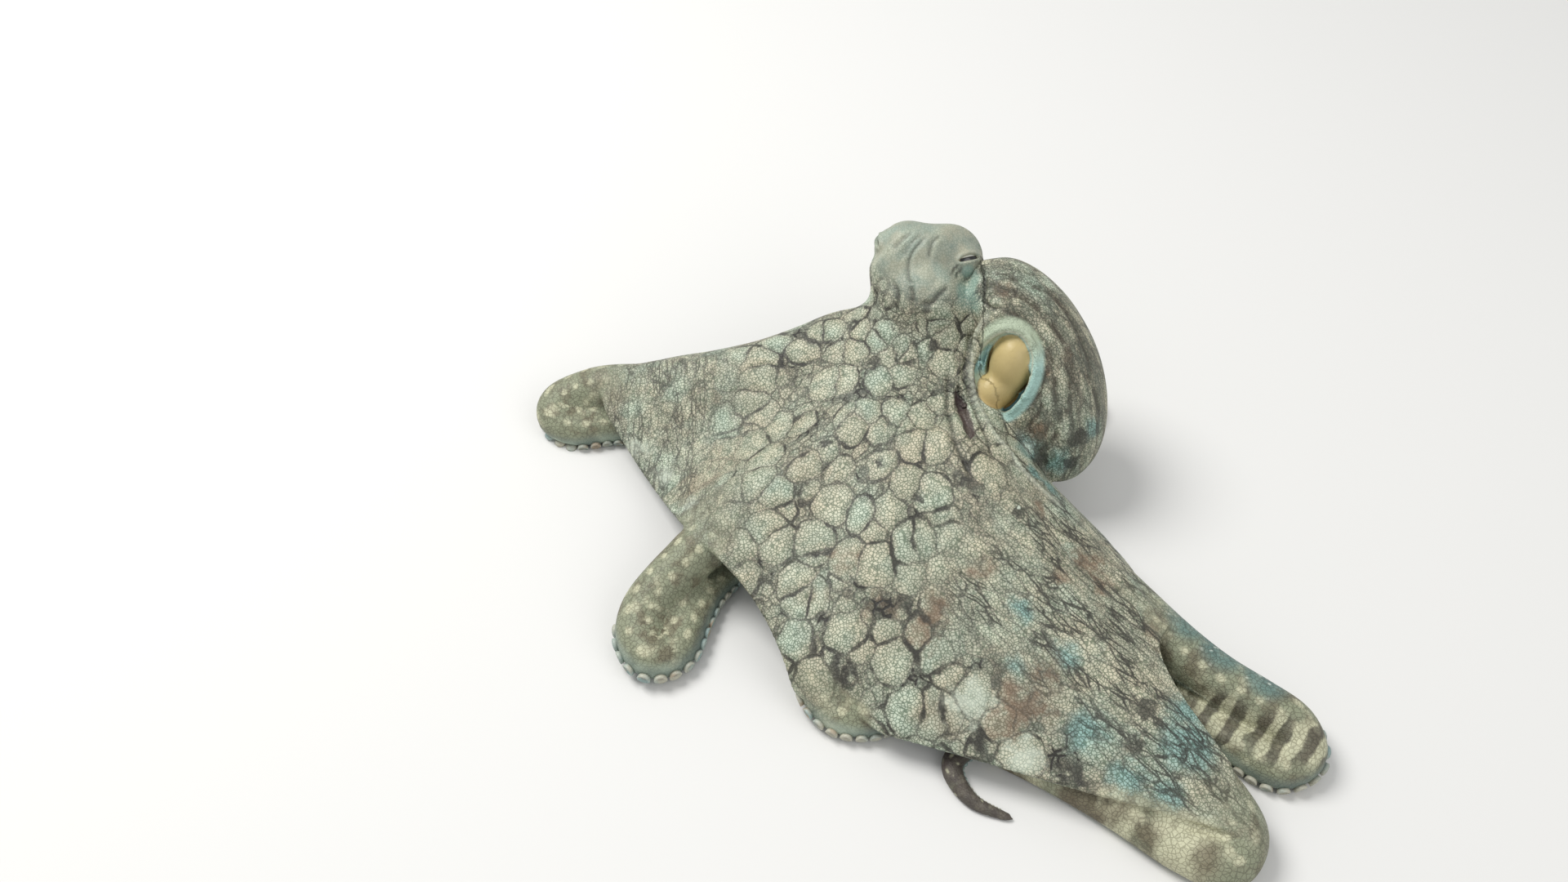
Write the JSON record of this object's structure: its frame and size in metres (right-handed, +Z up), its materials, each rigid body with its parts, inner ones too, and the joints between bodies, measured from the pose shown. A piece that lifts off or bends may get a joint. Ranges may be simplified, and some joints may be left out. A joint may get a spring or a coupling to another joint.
{
  "type": "common octopus",
  "caption": "Life-size common octopus resting on a level floor: raised head, bag-shaped mantle behind it, web spread like a tent and arm ends curled back.",
  "frame": {"origin": "on the floor, at the middle of the ground the animal covers", "axes": "+Z up, -Y towards the animal's underside arms, where its funnel faces, and +X towards its right arms"},
  "size_m": [0.3786, 0.352, 0.124],
  "materials": {
    "body_skin": "moist skin, cream with a dark brown net and reddish patches",
    "arm_skin": "moist skin, olive brown with cream spots and bars, bluish beneath",
    "funnel_skin": "wet ochre flesh with a pale rim",
    "eye": "wet glossy eyeball, gold-brown iris with a dark slit pupil"
  },
  "bodies": {
    "root": {"eye_left": "eye", "eye_right": "eye", "funnel": "funnel_skin", "mantle": "body_skin", "head": "body_skin", "arm_crown": "body_skin", "arm_left_1_base": "arm_skin", "arm_left_1_middle": "arm_skin", "arm_left_1_tip": "arm_skin", "arm_left_2_base": "arm_skin", "arm_left_2_middle": "arm_skin", "arm_left_2_tip": "arm_skin", "arm_left_3_base": "arm_skin", "arm_left_3_middle": "arm_skin", "arm_left_3_tip": "arm_skin", "arm_left_4_base": "arm_skin", "arm_left_4_middle": "arm_skin", "arm_left_4_tip": "arm_skin", "arm_right_4_base": "arm_skin", "arm_right_4_middle": "arm_skin", "arm_right_4_tip": "arm_skin", "arm_right_3_base": "arm_skin", "arm_right_3_middle": "arm_skin", "arm_right_3_tip": "arm_skin", "arm_right_2_base": "arm_skin", "arm_right_2_middle": "arm_skin", "arm_right_2_tip": "arm_skin", "arm_right_1_base": "arm_skin", "arm_right_1_middle": "arm_skin", "arm_right_1_tip": "arm_skin", "web_left_1_2": "body_skin", "web_left_2_3": "body_skin", "web_left_3_4": "body_skin", "web_ventral": "body_skin", "web_right_3_4": "body_skin", "web_right_2_3": "body_skin", "web_right_1_2": "body_skin", "web_dorsal": "body_skin"}
  },
  "joints": []
}
